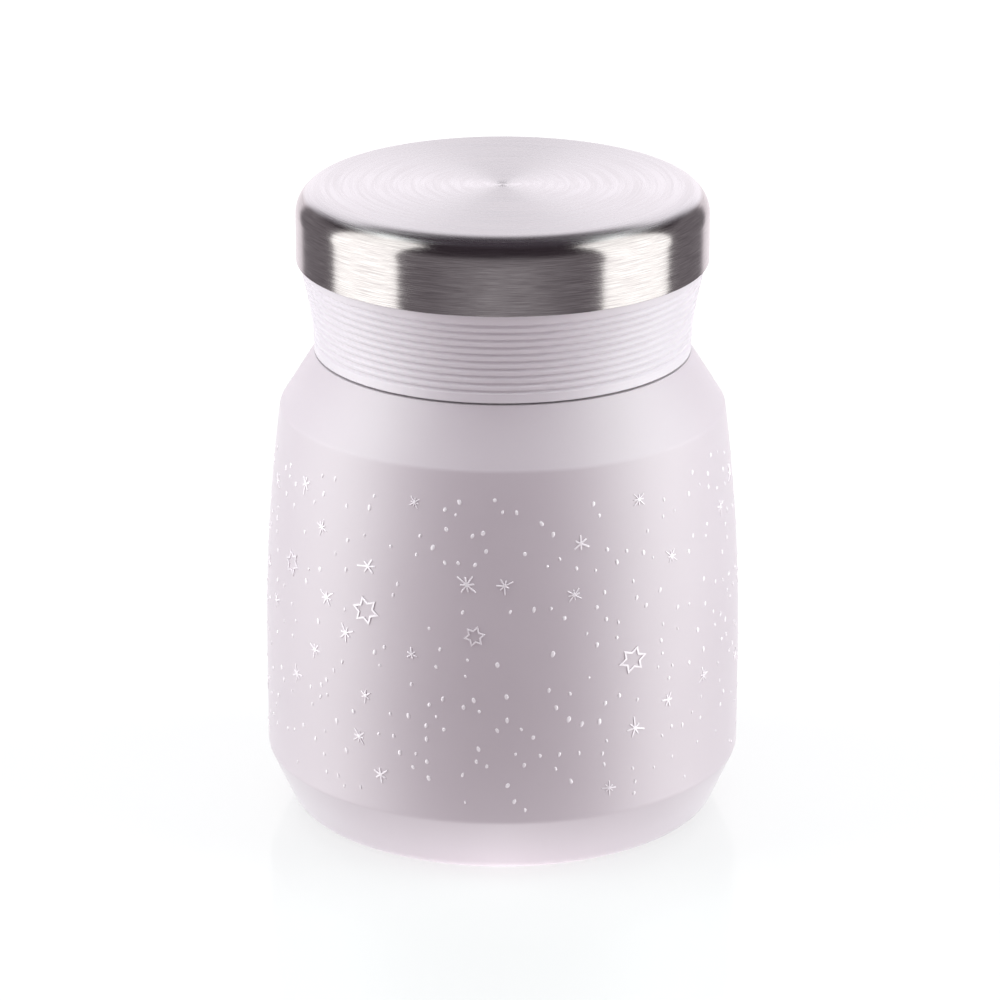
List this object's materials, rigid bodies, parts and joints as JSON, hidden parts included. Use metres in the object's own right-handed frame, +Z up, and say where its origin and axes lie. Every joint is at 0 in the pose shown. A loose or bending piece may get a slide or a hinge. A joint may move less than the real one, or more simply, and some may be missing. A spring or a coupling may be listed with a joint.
{
  "type": "insulated food jar",
  "caption": "Wide-mouth vacuum-insulated steel food jar with a screw lid: grooved collar, brushed steel cap, foam-filled plug and silicone sealing ring.",
  "frame": {"origin": "centre of the underside of the silicone foot, on the jar's axis", "axes": "+Z up along the jar's axis, which the lid turns about and lifts along; X and Y are any two directions across it, because the jar is round"},
  "size_m": [0.1, 0.1, 0.1345],
  "materials": {
    "powder_coat": "pale lilac satin powder coat with raised white dots and stars",
    "liner_steel": "satin stainless steel",
    "plate_steel": "pressed stainless steel",
    "cap_steel": "stainless steel, brushed in circles on the top and round the side",
    "foil": "bright thin foil",
    "getter_metal": "dark sintered pill",
    "sealing_glass": "dark sealing glass",
    "silicone": "translucent white food silicone",
    "core_plastic": "matte moulded polypropylene",
    "collar_plastic": "pale pink-white matte moulding with fine grooves",
    "foam": "white expanded foam"
  },
  "bodies": {
    "jar": {"outer_shell": "powder_coat", "liner_body": "liner_steel", "liner_bottom": "liner_steel", "foil_wrap": "foil", "getter_holder": "plate_steel", "getter": "getter_metal", "vacuum_base": "plate_steel", "seal_bead": "sealing_glass", "base_cover": "plate_steel", "base_pad": "silicone"},
    "seal_ring": {"lid_seal": "silicone"},
    "lid": {"lid_core": "core_plastic", "lid_collar": "collar_plastic", "cover_carrier": "core_plastic", "lid_insulation": "foam", "lid_cover": "cap_steel"}
  },
  "joints": [
    {"name": "lid_lift", "type": "slide", "parent": "jar", "child": "seal_ring", "axis": [0, 0, 1], "range_m": [0, 0.08]},
    {"name": "lid_turn", "type": "hinge", "parent": "seal_ring", "child": "lid", "pos_m": [0, 0, 0.12], "axis": [0, 0, 1], "range_deg": [0, 360]}
  ]
}
